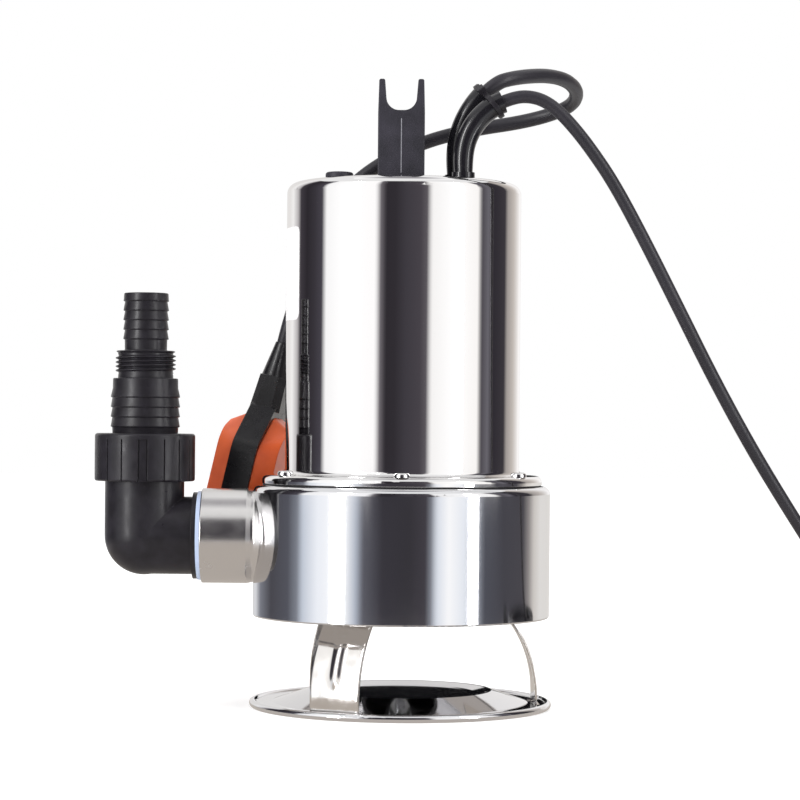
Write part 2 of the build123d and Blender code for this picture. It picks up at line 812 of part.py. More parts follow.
def cable_tie():
    """Strap round both strain reliefs just under their ends, with its ratchet head and cut tail."""
    first = boot_frame(power_boot_foot, power_boot_bend, tie_share)
    second = boot_frame(float_boot_foot, float_boot_bend, tie_share)
    middle = (first.origin + second.origin) / 2
    along = second.origin - first.origin
    normal = (first.z_dir + second.z_dir).normalized()
    across = along - normal * along.dot(normal)
    loop = Plane(origin=middle, x_dir=across, z_dir=normal)
    inner = boot_end_radius + tie_clearance
    outer = inner + tie_thickness
    band = extrude(loop * (SlotCenterToCenter(across.length, 2 * outer)), amount=tie_width / 2, both=True)
    band -= extrude(loop * (SlotCenterToCenter(across.length, 2 * inner)), amount=tie_width, both=True)
    head = loop * Pos(0, outer + 1.2, 0) * Box(4.6, 3.4, tie_width + 1.8)
    tail = loop * Pos(3.6, outer + 1.6, 0) * Box(3.4, 1.0, tie_width)
    return band + fillet(head.edges(), 0.5) + tail


# ---- outlet fittings ----
def elbow():
    """Socket spigot, short arm and pipe with a mitred inner corner and a rounded back."""
    mouth = outlet_mouth + seal_thickness
    spigot = outlet_cylinder(outlet_bore - running_gap, outlet_mouth - spigot_length, mouth)
    rim = outlet_cylinder(elbow_rim, mouth, mouth + rim_thickness)
    arm = outlet_cylinder(elbow_radius - 0.4, mouth + rim_thickness - 0.1, elbow_axis)
    pipe = rod(elbow_radius, outlet_height, union_face - 16, -elbow_axis)
    knuckle = Pos(-elbow_axis, 0, outlet_height) * Sphere(elbow_radius)
    male = rod(union_thread, union_face - 16, union_face, -elbow_axis)
    body = spigot + rim + arm + pipe + knuckle + male
    across = outlet_cylinder(elbow_bore, outlet_mouth - spigot_length - 1, elbow_axis)
    up = rod(elbow_bore, outlet_height, union_face + 1, -elbow_axis)
    return body - across - up - Pos(-elbow_axis, 0, outlet_height) * Sphere(elbow_bore)


def elbow_seal():
    washer_ring = outlet_cylinder(outlet_bore + 1.1, outlet_mouth, outlet_mouth + seal_thickness)
    return washer_ring - outlet_cylinder(outlet_bore + running_gap, outlet_mouth - 5, outlet_mouth + 5)


def union_gasket():
    return Pos(-elbow_axis, 0, 0) * ring(elbow_bore, union_thread - 0.5, union_face, union_face + washer)


def union_nut():
    """Ring nut with a lip and seventeen pads, narrow grooves between them and two wide recesses."""
    lip_low = union_top - union_lip
    band_low = union_top - 3.2
    body = turned_soft([
        (union_thread + running_gap, union_bottom), (union_radius, union_bottom), (union_radius, union_top),
        (union_neck, union_top), (union_neck, lip_low), (union_thread + running_gap, lip_low),
    ], [0.5, 1.2, 1.6, 0.5, 0, 0])
    deep = union_radius - 1.1
    groove = block((deep, deep + 5), (-0.3, 0.3), (union_bottom - 1, band_low))
    front = union_recess_centre - 90
    sides = []
    for count, side in ((9, 1), (10, -1)):
        sides += [front + side * (union_recess / 2 + union_pad_pitch * i) for i in range(count)]
    body = minus(body, around(groove, sides))
    half = union_radius * math.sin(math.radians(union_recess / 2))
    wide = block((deep + 0.2, deep + 5), (-half, half), (union_bottom - 1, band_low))
    rear = front - union_recess - union_pad_pitch * 9
    return Pos(-elbow_axis, 0, 0) * minus(body, around(wide, (front, rear)))


def saw_teeth(low, count, step, crest):
    """Outline of hose barbs from the top down: each widens downwards and steps in below its edge."""
    points = []
    for i in reversed(range(count)):
        edge = low + step * i
        points += [(crest, edge + 0.5), (crest, edge), (crest - barb_depth, edge - 0.3)]
    return points


def thread_outline(low, high):
    """Rings that stand for the thread's crests."""
    points = []
    turns = int((high - low) / thread_pitch)
    for i in reversed(range(turns)):
        base = low + thread_pitch * i
        points += [
            (thread_root, base + thread_pitch * 0.98), (thread_crest, base + thread_pitch * 0.62),
            (thread_crest, base + thread_pitch * 0.42), (thread_root, base + thread_pitch * 0.04),
        ]
    return points


def hose_adapter():
    flange_low = union_face + washer
    flange_high = union_top - union_lip
    top = adapter_top
    points = [(adapter_bore[0], top), (upper_barbs[3] - 0.7, top), (upper_barbs[3] - 0.3, top - 0.6)]
    points += saw_teeth(*upper_barbs)
    thread_low, thread_high = thread_span
    points += [(adapter_waist, thread_high + 0.2), (thread_crest - 0.5, thread_high + 0.2)]
    points += thread_outline(thread_low, thread_high)
    points += [(adapter_neck, thread_low - 0.3), (adapter_neck, thread_low - 2)]
    points += [(adapter_shoulder, thread_low - 2), (adapter_shoulder + 0.1, thread_low - 7.5)]
    points += saw_teeth(*lower_barbs)
    points += [(adapter_shoulder, flange_high), (union_thread - 0.6, flange_high)]
    narrow, wide = adapter_bore
    points += [(union_thread - 0.6, flange_low), (wide, flange_low)]
    points += [(wide, thread_low - 3.9), (narrow, thread_low + 4.1)]
    return Pos(-elbow_axis, 0, 0) * turned(points)


# ---- float switch ----
def float_place():
    """Local frame of the float: origin at the cable's end, Z up along the float, X across its thickness."""
    return Pos(*float_top) * Rot(0, float_lean, 0) * Rot(0, 0, float_yaw)


def float_outline(inset, low, high):
    """Rounded shield outline in the YZ plane."""
    half = float_width / 2 - inset
    shoulder = 24 - inset
    crown = 11 - inset * 0.4
    points = [
        (0, -half, low + inset), (0, half, low + inset), (0, half, high - shoulder), (0, crown, high - inset),
        (0, -crown, high - inset), (0, -half, high - shoulder),
    ]
    radius = max(9 - inset * 0.6, 2)
    return make_face(FilletPolyline(points, radius=[radius, radius, 14, 6, 6, 14], close=True))


def float_levels():
    high = -float_boot_length
    return high - float_length, high


def float_band():
    low, high = float_levels()
    half = float_band_width / 2
    outside = extrude(float_outline(0, low, high), amount=half, both=True)
    cavity = float_outline(float_wall + 1.5, low, high - float_collar)
    inside = extrude(cavity, amount=half + 1, both=True)
    neck_top = high + float_neck
    neck = loft([
        (Pos(0, 0, high - 3) * Rectangle(18, 24)).face(), (Pos(0, 0, neck_top) * Rectangle(16, 18)).face(),
    ])
    neck = chamfer(neck.edges().filter_by(lambda e: abs((e @ 1 - e @ 0).Z) > 5), 4)
    taper = Pos(0, 0, neck_top / 2) * Cone(8.2, 4.6, -neck_top)
    taper = taper & block((-7.9, 7.9), (-8.9, 8.9), (high, 0))
    floor = low + float_wall
    track = rod(ball_radius + 1.4, floor + 1.4, low + 46) - rod(ball_radius + 0.4, floor + 2.2, low + 50)
    return float_place() * (outside + neck + taper - inside + track)


def float_shell(side):
    """Hollow truncated pyramid on one side of the band."""
    low, high = float_levels()
    half = float_band_width / 2
    top = high - float_collar
    outer = [float_outline(inset, low, top) for inset in float_shell_inset]
    inner = [float_outline(inset + float_wall, low, top) for inset in float_shell_inset]
    outside = pyramid(*outer, half + 0.02, float_shell_height)
    inside = pyramid(*inner, half - 1, float_shell_height - float_wall + 1)
    shell = outside - inside
    if side < 0:
        shell = mirror(shell, Plane.YZ)
    return float_place() * shell


def pyramid(base, top, start, height):
    return loft([Pos(start, 0, 0) * base, Pos(start + height, 0, 0) * top], ruled=True)


def float_switch():
    low, high = float_levels()
    case = block((-3.2, 3.2), (-10, 10), (high - 22, high - 11))
    roof = high - float_collar - float_wall - 1.5
    bridge = block((-3.2, 3.2), (-4, 4), (high - 11.2, roof - 0.1))
    lever = block((-2.2, 2.2), (-9, 8), (high - 24, high - 23.6))
    stem = block((-2.2, 2.2), (-9, -8.4), (high - 24, high - 21.8))
    return float_place() * (case + bridge + lever + stem)


def float_ball():
    low, high = float_levels()
    return float_place() * Pos(0, 0, low + float_wall + 2.3 + ball_radius) * Sphere(ball_radius)


# ---- mains cable, coil and plug ----
def power_coil():
    width, height = coil_section
    low = coil_mean_radius - width / 2
    high = coil_mean_radius + width / 2
    outline = [(low, 0), (high, 0), (high, height), (low, height)]
    return Pos(*coil_centre, 0) * turned_soft(outline, [coil_corner] * 4)


def plug_frame():
    """The plug lies on its side past the coil, pins towards the front: Z runs out along the pins."""
    return Pos(*plug_place, plug_radius) * Rot(90, 0, 0)


def mains_plug():
    face = plug_neck + plug_depth
    body = rod(plug_radius, plug_neck, face)
    body = fillet(body.edges().group_by(Axis.Z)[0], 5)
    neck = Pos(0, 0, (plug_neck + 2) / 2) * Cone(5.5, 11, plug_neck + 2)
    cutters = [rod(plug_pin_stem, face - 11, face + 1, x) for x in pin_places()]
    for side in (-1, 1):
        cutters.append(block((-4, 4), sorted((side * 15.5, side * 20)), (face - 15, face + 1)))
    return plug_frame() * minus(body + neck, cutters)


def pin_places():
    return -plug_pin_spacing / 2, plug_pin_spacing / 2


def plug_pins():
    """Each pin has a thinner stem that is moulded into the plug."""
    face = plug_neck + plug_depth
    pins = []
    for x in pin_places():
        start = face + plug_pin_step
        pin = rod(plug_pin_radius, start, start + plug_pin_length, x)
        pin = fillet(pin.edges().group_by(Axis.Z)[-1], 1.2)
        pins.append(plug_frame() * (pin + rod(plug_pin_stem, face - 11, start + 0.1, x)))
    return pins


def power_cable():
    frame = boot_frame(power_boot_foot, power_boot_bend, 1)
    start = frame.origin
    points = [tuple(start), tuple(start + frame.z_dir * power_lead_out)] + power_route
    lead = cable_tube("power_cable", points, cable_diameter)
    tail = cable_tube("power_cable tail", tail_route + [(*plug_place, plug_radius)], cable_diameter)
    return [lead, tail]


def float_cable():
    frame = boot_frame(float_boot_foot, float_boot_bend, 1)
    start = frame.origin
    up = Vector(math.sin(math.radians(float_lean)), 0, math.cos(math.radians(float_lean)))
    end = Vector(*float_top)
    points = [tuple(start), tuple(start + frame.z_dir * float_lead_out)] + float_route
    points += [tuple(end + up * float_lead_out), tuple(end)]
    return cable_tube("float_cable", points, float_cable_diameter)


def write(name, shape):
    solids = shape if isinstance(shape, list) else [shape]
    parts = []
    for solid in solids:
        parts += solid.solids()
    export_step(Compound(children=parts) if len(parts) > 1 else parts[0], f"parts/{name}.step")


def main():
    os.makedirs("parts", exist_ok=True)
    strip = leg()
    for name, angle in leg_angles.items():
        write(name, Rot(0, 0, angle) * strip)
    plain = [
        base_plate, suction_plate, inlet_ring, pump_casing, casing_gasket, outlet_stub, motor_shell,
        flange_screws, handle, handle_screws, shell_plug, gland_nuts, cable_tie, label, bearing_housing,
        seal_plate, seal_plate_screws, seal_seat, seal_head, seal_spring, lip_seal, motor_frame, stator_core,
        stator_windings, upper_bracket, tie_bolts, capacitor, capacitor_clip, terminal_block, shaft,
        rotor_core, rotor_end_rings, impeller, impeller_nut, elbow, elbow_seal, union_gasket, union_nut,
        hose_adapter, float_band, float_switch, float_ball, power_cable, float_cable, power_coil,
        mains_plug, plug_pins,
    ]
    for make in plain:
        write(make.__name__, make())
    write("power_boot", boot(power_boot_foot, power_boot_bend))
    write("float_lead_boot", boot(float_boot_foot, float_boot_bend))
    for name, bearing in (("lower_bearing", lower_bearing), ("upper_bearing", upper_bearing)):
        write(name + "_outer", bearing_outer(bearing))
        write(name + "_inner", bearing_inner(bearing))
        write(name + "_balls", bearing_balls(bearing))
    write("float_shell_left", float_shell(-1))
    write("float_shell_right", float_shell(1))


main()
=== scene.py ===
import bpy
import bmesh
import math
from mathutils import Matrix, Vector


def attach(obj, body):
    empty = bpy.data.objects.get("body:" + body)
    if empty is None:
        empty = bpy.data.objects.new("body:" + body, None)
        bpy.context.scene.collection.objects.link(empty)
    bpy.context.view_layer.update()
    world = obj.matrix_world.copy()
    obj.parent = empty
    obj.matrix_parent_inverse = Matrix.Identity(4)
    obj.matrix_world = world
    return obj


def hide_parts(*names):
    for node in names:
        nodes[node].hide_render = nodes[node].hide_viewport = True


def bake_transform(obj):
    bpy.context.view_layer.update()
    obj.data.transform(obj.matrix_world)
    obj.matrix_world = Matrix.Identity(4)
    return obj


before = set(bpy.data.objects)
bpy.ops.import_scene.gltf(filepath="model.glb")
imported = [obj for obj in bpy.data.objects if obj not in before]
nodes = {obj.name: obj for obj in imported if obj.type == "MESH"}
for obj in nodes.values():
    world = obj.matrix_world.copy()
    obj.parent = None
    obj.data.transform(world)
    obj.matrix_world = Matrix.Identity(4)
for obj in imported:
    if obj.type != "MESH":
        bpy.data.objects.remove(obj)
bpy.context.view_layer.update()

mm = 0.001


def toLinear(code):    # sRGB hex to the linear colour that a shader takes
    values = [int(code[i:i + 2], 16) / 255 for i in (1, 3, 5)]
    linear = [v / 12.92 if v <= 0.04045 else ((v + 0.055) / 1.055) ** 2.4 for v in values]
    return (*linear, 1.0)


def addNode(tree, kind, settings=None, links=None):    # settings are attributes or inputs, links are sockets
    node = tree.nodes.new(kind)
    for key, value in (settings or {}).items():
        if isinstance(key, str) and hasattr(node, key):
            setattr(node, key, value)
        else:
            node.inputs[key].default_value = value
    for key, source in (links or {}).items():
        tree.links.new(source, node.inputs[key])
    return node


def newMaterial(name, color, metallic, roughness, extra=None):
    material = bpy.data.materials.new(name)
    material.use_nodes = True
    tree = material.node_tree
    shader = tree.nodes["Principled BSDF"]
    shader.inputs["Base Color"].default_value = toLinear(color)
    shader.inputs["Metallic"].default_value = metallic
    shader.inputs["Roughness"].default_value = roughness
    for key, value in (extra or {}).items():
        shader.inputs[key].default_value = value
    return material, tree, shader


def objectSpace(tree, stretch=(1, 1, 1)):    # coordinates in metres
    place = addNode(tree, "ShaderNodeTexCoord")
    mapping = addNode(tree, "ShaderNodeMapping", {"Scale": stretch}, {"Vector": place.outputs["Object"]})
    return mapping.outputs["Vector"]


def noiseOver(tree, size, detail=3.0, stretch=(1, 1, 1)):    # size of the pattern in millimetres
    settings = {"Scale": 1 / (size * mm), "Detail": detail}
    noise = addNode(tree, "ShaderNodeTexNoise", settings, {"Vector": objectSpace(tree, stretch)})
    return noise.outputs["Fac"]


def bumpFrom(tree, shader, height, depth, strength, rounding=0.0):    # depth and rounding in millimetres
    settings = {"Strength": strength, "Distance": depth * mm}
    bump = addNode(tree, "ShaderNodeBump", settings, {"Height": height})
    if rounding:
        edge = addNode(tree, "ShaderNodeBevel", {"samples": 6, "Radius": rounding * mm})
        tree.links.new(edge.outputs["Normal"], bump.inputs["Normal"])
    tree.links.new(bump.outputs["Normal"], shader.inputs["Normal"])


def tinted(tree, dark, light, size, spread=(0.35, 0.65)):    # slow drift between two tones
    ramp = addNode(tree, "ShaderNodeValToRGB", links={"Fac": noiseOver(tree, size, detail=4.0)})
    for stop, spot, color in zip(ramp.color_ramp.elements, spread, (dark, light)):
        stop.position = spot
        stop.color = toLinear(color)
    return ramp.outputs["Color"]


def variedRoughness(tree, shader, low, high, size, stretch=(1, 1, 1)):    # wear that drifts over the surface
    settings = {"From Min": 0.3, "From Max": 0.7, "To Min": low, "To Max": high}
    noise = noiseOver(tree, size, 5.0, stretch)
    wear = addNode(tree, "ShaderNodeMapRange", settings, {"Value": noise})
    tree.links.new(wear.outputs["Result"], shader.inputs["Roughness"])


def polishedStainless():    # 304 stainless, mirror buffed: sharp bands, faintly wavy from deep drawing
    material, tree, shader = newMaterial("stainless304MirrorBuffed", "#E6E5E5", 1.0, 0.04)
    variedRoughness(tree, shader, low=0.025, high=0.055, size=30, stretch=(1, 1, 0.25))
    waves = noiseOver(tree, size=70, detail=1.0, stretch=(1, 1, 0.3))
    bumpFrom(tree, shader, waves, depth=0.25, strength=0.3)
    return material


def rolledStainless():    # 304 stainless, bright rolled sheet: the same bands with softer edges
    material, tree, shader = newMaterial("stainless304BrightRolled", "#DDDDDF", 1.0, 0.1)
    variedRoughness(tree, shader, low=0.055, high=0.09, size=18, stretch=(1, 1, 0.2))
    waves = noiseOver(tree, size=46, detail=1.0, stretch=(1, 1, 0.25))
    bumpFrom(tree, shader, waves, depth=0.2, strength=0.3)
    return material


def turnedStainless():    # 304 stainless tube, turned: bands blurred along the tube
    material, tree, shader = newMaterial("stainless304Turned", "#D9D7D6", 1.0, 0.24)
    variedRoughness(tree, shader, low=0.2, high=0.28, size=9)
    toolMarks = noiseOver(tree, size=0.7, detail=2.0, stretch=(1, 0.05, 0.05))
    bumpFrom(tree, shader, toolMarks, depth=0.008, strength=0.2)
    return material


def stripStainless():    # 304 stainless strip, sheared and pressed: bright with a little haze
    material, tree, shader = newMaterial("stainless304Strip", "#D6D3D0", 1.0, 0.1)
    variedRoughness(tree, shader, low=0.07, high=0.16, size=5)
    bumpFrom(tree, shader, noiseOver(tree, size=0.5, detail=2.0), depth=0.01, strength=0.15, rounding=0.3)
    return material


# thin line down the handle's front where the mould parts: its light tone is a painted highlight
partingLineHighlight = {"lineX": -1.9, "lineWidth": 0.45, "lineLow": 290.0, "lineHigh": 319.0, "line": "#77767C"}


def grainedNylon():    # glass-filled polyamide from a spark-eroded mould: fine leathery grain, dull
    look = partingLineHighlight
    settings = {"Specular IOR Level": 0.22}
    material, tree, shader = newMaterial("polyamideBlackGrained", "#141417", 0.0, 0.48, settings)
    bumpFrom(tree, shader, noiseOver(tree, size=0.7), depth=0.11, strength=0.55, rounding=0.6)
    place = addNode(tree, "ShaderNodeSeparateXYZ", links={"Vector": objectSpace(tree)})
    compare = {"operation": "COMPARE", 1: look["lineX"] * mm, 2: look["lineWidth"] / 2 * mm}
    across = addNode(tree, "ShaderNodeMath", compare, {0: place.outputs["X"]})
    middle = (look["lineLow"] + look["lineHigh"]) / 2 * mm
    compare = {"operation": "COMPARE", 1: middle, 2: (look["lineHigh"] - look["lineLow"]) / 2 * mm}
    along = addNode(tree, "ShaderNodeMath", compare, {0: place.outputs["Z"]})
    both = {0: across.outputs[0], 1: along.outputs[0]}
    line = addNode(tree, "ShaderNodeMath", {"operation": "MULTIPLY"}, both)
    mix = addNode(tree, "ShaderNodeMix", {"data_type": "RGBA"}, {"Factor": line.outputs[0]})
    tree.links.new(tinted(tree, "#232228", "#2D2B33", size=14), mix.inputs[6])
    mix.inputs[7].default_value = toLinear(look["line"])    # parting line of the mould, its light tone a painted highlight along the ridge
    tree.links.new(mix.outputs[2], shader.inputs["Base Color"])
    return material


def smoothNylon():    # polyamide pipe fitting from a polished mould: satin with flow marks
    settings = {"Specular IOR Level": 0.24}
    material, tree, shader = newMaterial("polyamideBlackMoulded", "#1D1B1F", 0.0, 0.34, settings)
    bumpFrom(tree, shader, noiseOver(tree, size=2.2), depth=0.05, strength=0.3, rounding=0.45)
    tree.links.new(tinted(tree, "#19171B", "#211F24", size=9), shader.inputs["Base Color"])
    variedRoughness(tree, shader, low=0.27, high=0.4, size=7)
    return material


def glossyPvc():    # soft PVC strain relief: wet-looking highlights
    settings = {"Specular IOR Level": 0.42}
    material, tree, shader = newMaterial("pvcBlackSoft", "#161519", 0.0, 0.16, settings)
    bumpFrom(tree, shader, noiseOver(tree, size=6.0), depth=0.05, strength=0.12)
    variedRoughness(tree, shader, low=0.12, high=0.22, size=5)
    return material


def cableRubber():    # chloroprene jacket, extruded: smooth with a soft satin sheen, a little dusty
    settings = {"Specular IOR Level": 0.35}
    material, tree, shader = newMaterial("chloropreneJacketExtruded", "#1B1B1F", 0.0, 0.4, settings)
    bumpFrom(tree, shader, noiseOver(tree, size=40, detail=0.0), depth=0.03, strength=0.1)
    tree.links.new(tinted(tree, "#1F1E23", "#26242A", size=60), shader.inputs["Base Color"])
    return material


def sealRubber():    # nitrile rubber, compression moulded: dull black
    settings = {"Specular IOR Level": 0.3}
    material, tree, shader = newMaterial("nitrileRubberMoulded", "#131315", 0.0, 0.6, settings)
    bumpFrom(tree, shader, noiseOver(tree, size=0.9), depth=0.03, strength=0.3)
    return material


def milkySeal():    # polyethylene ring, turned: milky, faintly blue
    settings = {"Subsurface Weight": 0.3, "Subsurface Radius": (2 * mm, 2 * mm, 3 * mm)}
    material, tree, shader = newMaterial("polyethyleneMilky", "#A9B6CF", 0.0, 0.3, settings)
    bumpFrom(tree, shader, noiseOver(tree, size=1.0), depth=0.02, strength=0.2)
    return material


def labelFilm():    # polyester film, printed white: satin, slightly uneven
    material, tree, shader = newMaterial("polyesterLabelFilm", "#DAD9DA", 0.0, 0.3)
    tree.links.new(tinted(tree, "#D5D4D5", "#DDDCDD", size=8), shader.inputs["Base Color"])
    bumpFrom(tree, shader, noiseOver(tree, size=3.0), depth=0.02, strength=0.15)
    return material


def floatOrange():    # ABS, injection moulded in orange: satin
    settings = {"Specular IOR Level": 0.4}
    material, tree, shader = newMaterial("absOrangeMoulded", "#D4551F", 0.0, 0.38, settings)
    tree.links.new(tinted(tree, "#CB4F1A", "#DA5C26", size=16), shader.inputs["Base Color"])
    bumpFrom(tree, shader, noiseOver(tree, size=0.8), depth=0.04, strength=0.25, rounding=0.8)
    return material


def floatBlack():    # polypropylene band, moulded: low waxy gloss
    settings = {"Specular IOR Level": 0.4}
    material, tree, shader = newMaterial("polypropyleneBlackMoulded", "#151417", 0.0, 0.28, settings)
    bumpFrom(tree, shader, noiseOver(tree, size=3.0), depth=0.05, strength=0.25, rounding=0.8)
    variedRoughness(tree, shader, low=0.22, high=0.36, size=6)
    return material


def machinedMetal(name, color, roughness, grain):    # grain in millimetres, with duller patches of 8 grains
    material, tree, shader = newMaterial(name, color, 1.0, roughness)
    bumpFrom(tree, shader, noiseOver(tree, size=grain), depth=0.04, strength=0.35, rounding=0.3)
    variedRoughness(tree, shader, low=roughness * 0.8, high=roughness * 1.3, size=grain * 8)
    return material


def laminations(sheet=0.5):    # silicon-steel sheets of 0.5 mm, stacked: fine lines across the stack
    material, tree, shader = newMaterial("siliconSteelStacked", "#5E5F63", 1.0, 0.45)
    settings = {"wave_type": "BANDS", "bands_direction": "Z", "Scale": 1 / (sheet * mm) / (2 * math.pi)}
    bands = addNode(tree, "ShaderNodeTexWave", settings, {"Vector": objectSpace(tree)})
    bumpFrom(tree, shader, bands.outputs["Fac"], depth=0.05, strength=0.5)
    return material


def mouldedPlain(name, color, roughness):    # plastic or ceramic from a plain mould: even, with soft edges
    material, tree, shader = newMaterial(name, color, 0.0, roughness)
    bumpFrom(tree, shader, noiseOver(tree, size=0.9), depth=0.04, strength=0.3, rounding=0.4)
    return material


materials = {
    "mirror": polishedStainless(),
    "rolled": rolledStainless(),
    "strip": stripStainless(),
    "turned": turnedStainless(),
    "grained": grainedNylon(),
    "fitting": smoothNylon(),
    "boot": glossyPvc(),
    "cable": cableRubber(),
    "rubber": sealRubber(),
    "seal": milkySeal(),
    "label": labelFilm(),
    "orange": floatOrange(),
    "band": floatBlack(),
    "casting": machinedMetal("aluminiumDieCast", "#B9BBBE", roughness=0.42, grain=0.9),
    "zinc": machinedMetal("steelZincPlated", "#B8BABB", roughness=0.28, grain=0.6),
    "ground": machinedMetal("bearingSteelGround", "#C4C4C6", roughness=0.14, grain=0.4),
    "copper": machinedMetal("copperEnamelled", "#B0622F", roughness=0.3, grain=0.6),
    "pins": machinedMetal("brassNickelPlated", "#C9C5BB", roughness=0.16, grain=0.5),
    "stack": laminations(),
    "ceramic": mouldedPlain("aluminaLapped", "#E6E2DA", roughness=0.2),
    "capacitor": mouldedPlain("polypropyleneGrey", "#C9C7C2", roughness=0.35),
    "impeller": mouldedPlain("polyphenyleneEtherBlack", "#242326", roughness=0.4),
}
# the nodes that show their CAD shape; the legs, the hose adapter and the cords are drawn further down
finishes = {
    "mirror": "motor_shell flange_screws",
    "turned": "outlet_stub",
    "rolled": "pump_casing base_plate suction_plate",
    "grained": "handle shell_plug terminal_block",
    "fitting": "elbow union_nut gland_nuts cable_tie",
    "impeller": "impeller inlet_ring",
    "boot": "power_boot float_lead_boot mains_plug",
    "rubber": "casing_gasket lip_seal union_gasket",
    "seal": "elbow_seal",
    "label": "label",
    "orange": "float_shell_left float_shell_right",
    "band": "float_band float_switch",
    "casting": "bearing_housing upper_bracket rotor_end_rings",
    "zinc": "handle_screws seal_plate_screws tie_bolts capacitor_clip motor_frame seal_plate impeller_nut "
            "seal_spring",
    "ground": "lower_bearing_outer lower_bearing_inner lower_bearing_balls upper_bearing_outer "
              "upper_bearing_inner upper_bearing_balls shaft float_ball",
    "stack": "stator_core rotor_core",
    "copper": "stator_windings",
    "ceramic": "seal_seat seal_head",
    "capacitor": "capacitor",
    "pins": "plug_pins",
}
for key, names in finishes.items():
    for name in names.split():
        nodes[name].data.materials.clear()
        nodes[name].data.materials.append(materials[key])
print("materials done")


def cordCurve(name, points, diameter, material):    # a NURBS line through the given control points
    curve = bpy.data.curves.new(name, "CURVE")
    curve.dimensions = "3D"
    spline = curve.splines.new("NURBS")
    spline.points.add(len(points) - 1)
    for spot, point in zip(spline.points, points):
        spot.co = (point[0] * mm, point[1] * mm, point[2] * mm, 1)
    spline.order_u = 3
    spline.use_endpoint_u = True
    spline.resolution_u = 12
    curve.bevel_depth = diameter / 2 * mm
    curve.bevel_resolution = 6
    curve.use_fill_caps = True
    curve.materials.append(material)
    piece = bpy.data.objects.new(name, curve)
    bpy.context.scene.collection.objects.link(piece)
    return piece


def evaluatedMesh(piece):
    bpy.context.view_layer.update()
    depsgraph = bpy.context.evaluated_depsgraph_get()
    return bpy.data.meshes.new_from_object(piece.evaluated_get(depsgraph))


def cordPiece(name, points, diameter, material):    # the cord as a mesh, and the line that it follows
    curve = cordCurve(name + "Line", points, diameter, material)
    mesh = evaluatedMesh(curve)
    curve.data.bevel_depth = 0
    line = [tuple(v.co) for v in evaluatedMesh(curve).vertices]
    bpy.data.objects.remove(curve)
    mesh.name = name
    for polygon in mesh.polygons:
        polygon.use_smooth = True
    piece = bpy.data.objects.new(name, mesh)
    bpy.context.scene.collection.objects.link(piece)
    length = sum((Vector(b) - Vector(a)).length for a, b in zip(line, line[1:]))
    print(name, "length", round(length, 3))
    return piece, line


powerCord = {
    "diameter": 7.0, "length": 10.0, "coilCentre": (331.0, 30.0), "coilRadius": 68.0, "floorGap": 3.55,
    "columns": 5, "columnStep": 7.3, "fullLayers": 4, "layerStep": 7.0,
    "turnPoints": 14, "entryAngle": 165.0, "exitAngle": -2.0,
    "stepFrom": 0.72,    # share of a turn after which it steps over to the next lane
    "sway": 0.25, "swayPerTurn": 2.3, "swayWaves": 3,    # a hand-wound coil is not quite round
}
powerRoute = [
    (52.58, -40.31, 329.35), (59.07, -40.31, 331.97), (67.1, -40.3, 332.4), (74.8, -40.1, 330.2),
    (82.2, -39.8, 325.0), (90.5, -39.5, 316.4), (99.9, -39.0, 304.7), (112.5, -38.0, 286.7),
    (129.0, -36.3, 257.0), (148.4, -33.5, 219.8), (168.7, -29.5, 180.8), (190.7, -23.5, 142.7),
    (212.5, -14.5, 109.5), (231.5, -3.5, 82.5), (245.5, 8.5, 61.5), (254.5, 20.5, 45.0), (261.3, 34.0, 35.5),
]
tailRoute = [(415.3, -6.5, 13.0), (416.0, -26.0, 17.5), (416.0, -42.0, 17.5)]


def coilLanes():    # (layer, column) of each turn, from the middle of the top layer to the bottom's outside
    columns = range(powerCord["columns"])
    top = powerCord["fullLayers"]
    lanes = [(top, column) for column in columns[len(columns) // 2:]]
    for layer in reversed(range(top)):
        lanes += [(layer, column) for column in (reversed(columns) if layer % 2 else columns)]
    return lanes


def coilTurns():
    c = powerCord
    lanes = coilLanes()
    count = c["turnPoints"]
    total = int(count * (len(lanes) - 1 + (c["entryAngle"] - c["exitAngle"]) / 360))
    stretch = math.cos(math.pi / count) ** 0.5    # control points stand a little outside the line
    points = []
    for step in range(total + 1):
        turn = step / count
        index = min(int(turn), len(lanes) - 1)
        following = min(index + 1, len(lanes) - 1)
        share = max(0.0, (turn - index - c["stepFrom"]) / (1 - c["stepFrom"]))
        layer = lanes[index][0] * (1 - share) + lanes[following][0] * share
        column = lanes[index][1] * (1 - share) + lanes[following][1] * share
        angle = math.radians(c["entryAngle"] - 360 * turn)
        sway = c["sway"] * math.sin(c["swayPerTurn"] * turn + c["swayWaves"] * angle)
        radius = (c["coilRadius"] + (column - c["columns"] // 2) * c["columnStep"] + sway) / stretch
        x = c["coilCentre"][0] + radius * math.cos(angle)
        y = c["coilCentre"][1] + radius * math.sin(angle)
        points.append((x, y, c["floorGap"] + layer * c["layerStep"]))
    return points


powerCordPiece, powerLine = cordPiece(
    "powerCord", powerRoute + coilTurns() + tailRoute, powerCord["diameter"], materials["cable"])
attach(powerCordPiece, "pump")
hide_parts("power_cable", "power_coil")

floatLead = {
    "diameter": 8.0, "length": 0.34, "bendFrom": (-0.006, 0.0673, 0.318), "bendTo": (-0.066, 0.0697, 0.212),
}
floatRoute = [
    (42.99, -26.3, 335.22), (49.47, -26.3, 341.47), (57.5, -22.5, 344.3), (68.0, -13.0, 347.0),
    (79.5, 0.0, 349.0), (90.5, 15.0, 348.5), (97.5, 32.0, 344.5), (96.0, 48.0, 339.0), (84.5, 59.0, 334.5),
    (66.0, 64.5, 330.3), (40.0, 67.5, 326.6), (14.0, 69.0, 320.3), (-8.0, 68.0, 310.0), (-27.0, 67.0, 297.0),
    (-43.0, 67.5, 279.0), (-54.0, 68.5, 255.0), (-61.5, 69.3, 229.0), (-66.98, 70.0, 210.77),
    (-69.0, 70.0, 202.0),
]
floatLeadPiece, floatLine = cordPiece("floatLead", floatRoute, floatLead["diameter"], materials["cable"])
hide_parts("float_cable")
